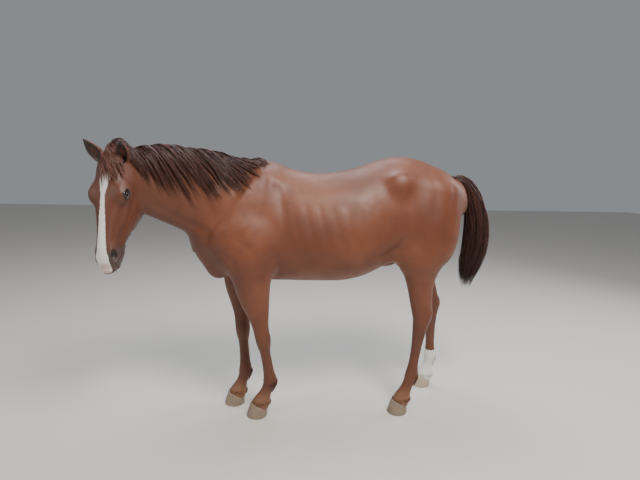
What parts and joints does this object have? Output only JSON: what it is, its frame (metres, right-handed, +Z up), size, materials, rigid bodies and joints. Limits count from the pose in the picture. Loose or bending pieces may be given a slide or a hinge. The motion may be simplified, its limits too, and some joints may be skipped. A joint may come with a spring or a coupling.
{
  "type": "standing horse",
  "caption": "Life-size still model of a chestnut horse standing with its head turned to its left, with mane, forelock and long tail.",
  "frame": {"origin": "the floor under the middle of the horse's box", "axes": "+Z up, -X the way the horse faces, -Y its left side"},
  "size_m": [2.2911, 0.7892, 1.6024],
  "materials": {
    "coat": "short glossy chestnut coat",
    "hair": "long dark reddish hair",
    "horn": "dusty pale horn",
    "eye": "wet, nearly black"
  },
  "bodies": {
    "root": {"trunk": "coat", "neck": "coat", "head": "coat", "ear_left": "coat", "ear_right": "coat", "eye_left": "eye", "eye_right": "eye", "forearm_left": "coat", "forearm_right": "coat", "cannon_fore_left": "coat", "cannon_fore_right": "coat", "gaskin_left": "coat", "gaskin_right": "coat", "cannon_hind_left": "coat", "cannon_hind_right": "coat", "hoof_fore_left": "horn", "hoof_fore_right": "horn", "hoof_hind_left": "horn", "hoof_hind_right": "horn", "mane": "hair", "forelock": "hair", "tail": "hair"}
  },
  "joints": []
}
